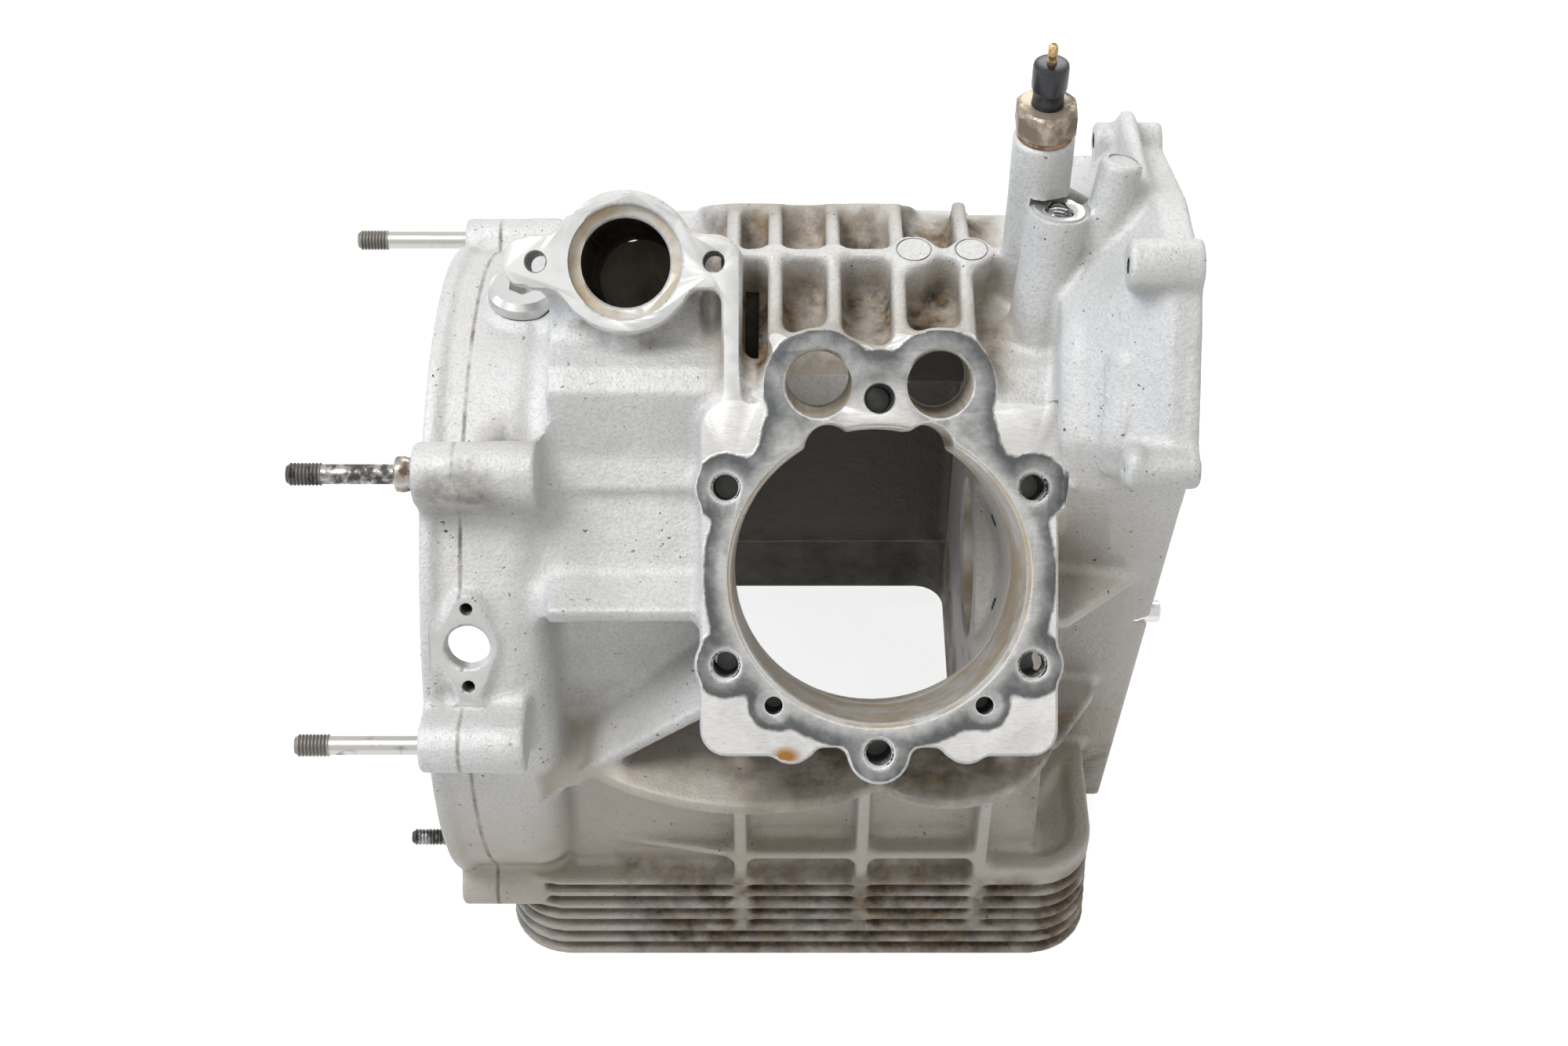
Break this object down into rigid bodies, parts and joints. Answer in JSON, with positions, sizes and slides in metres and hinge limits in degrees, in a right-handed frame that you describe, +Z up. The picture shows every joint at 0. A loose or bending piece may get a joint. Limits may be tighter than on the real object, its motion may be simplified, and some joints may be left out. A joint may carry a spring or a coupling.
{
  "type": "engine crankcase",
  "caption": "Bare cast aluminium crankcase of an air-cooled V-twin, with angled cylinder decks, finned sump skirt, bell housing and timing chest.",
  "frame": {"origin": "on the crankshaft axis, below the middle of the valley between the cylinder decks", "axes": "+X along the crankshaft towards the timing face, +Z up, -Y towards the pictured side"},
  "size_m": [0.3035, 0.2834, 0.3565],
  "materials": {
    "cast_metal": "bright grainy sand-cast surface with machined faces and oil stains",
    "stud_steel": "worn plain steel with dark threads",
    "bright_steel": "bright turned steel",
    "washer_copper": "dull soft copper",
    "sender_brass": "dull browned brass",
    "insulator_plastic": "black moulded plastic",
    "insert_steel": "coiled stainless wire"
  },
  "bodies": {
    "root": {"crankcase": "cast_metal", "bell_stud_far": "stud_steel", "bell_stud_upper": "stud_steel", "bell_stud_lower": "stud_steel", "bell_stud_short": "stud_steel", "locating_bush": "stud_steel", "blanking_plug": "bright_steel", "sender_washer": "washer_copper", "sender_body": "sender_brass", "sender_insulator": "insulator_plastic", "sender_terminal": "sender_brass", "thread_insert": "insert_steel", "front_dowel": "bright_steel"}
  },
  "joints": []
}
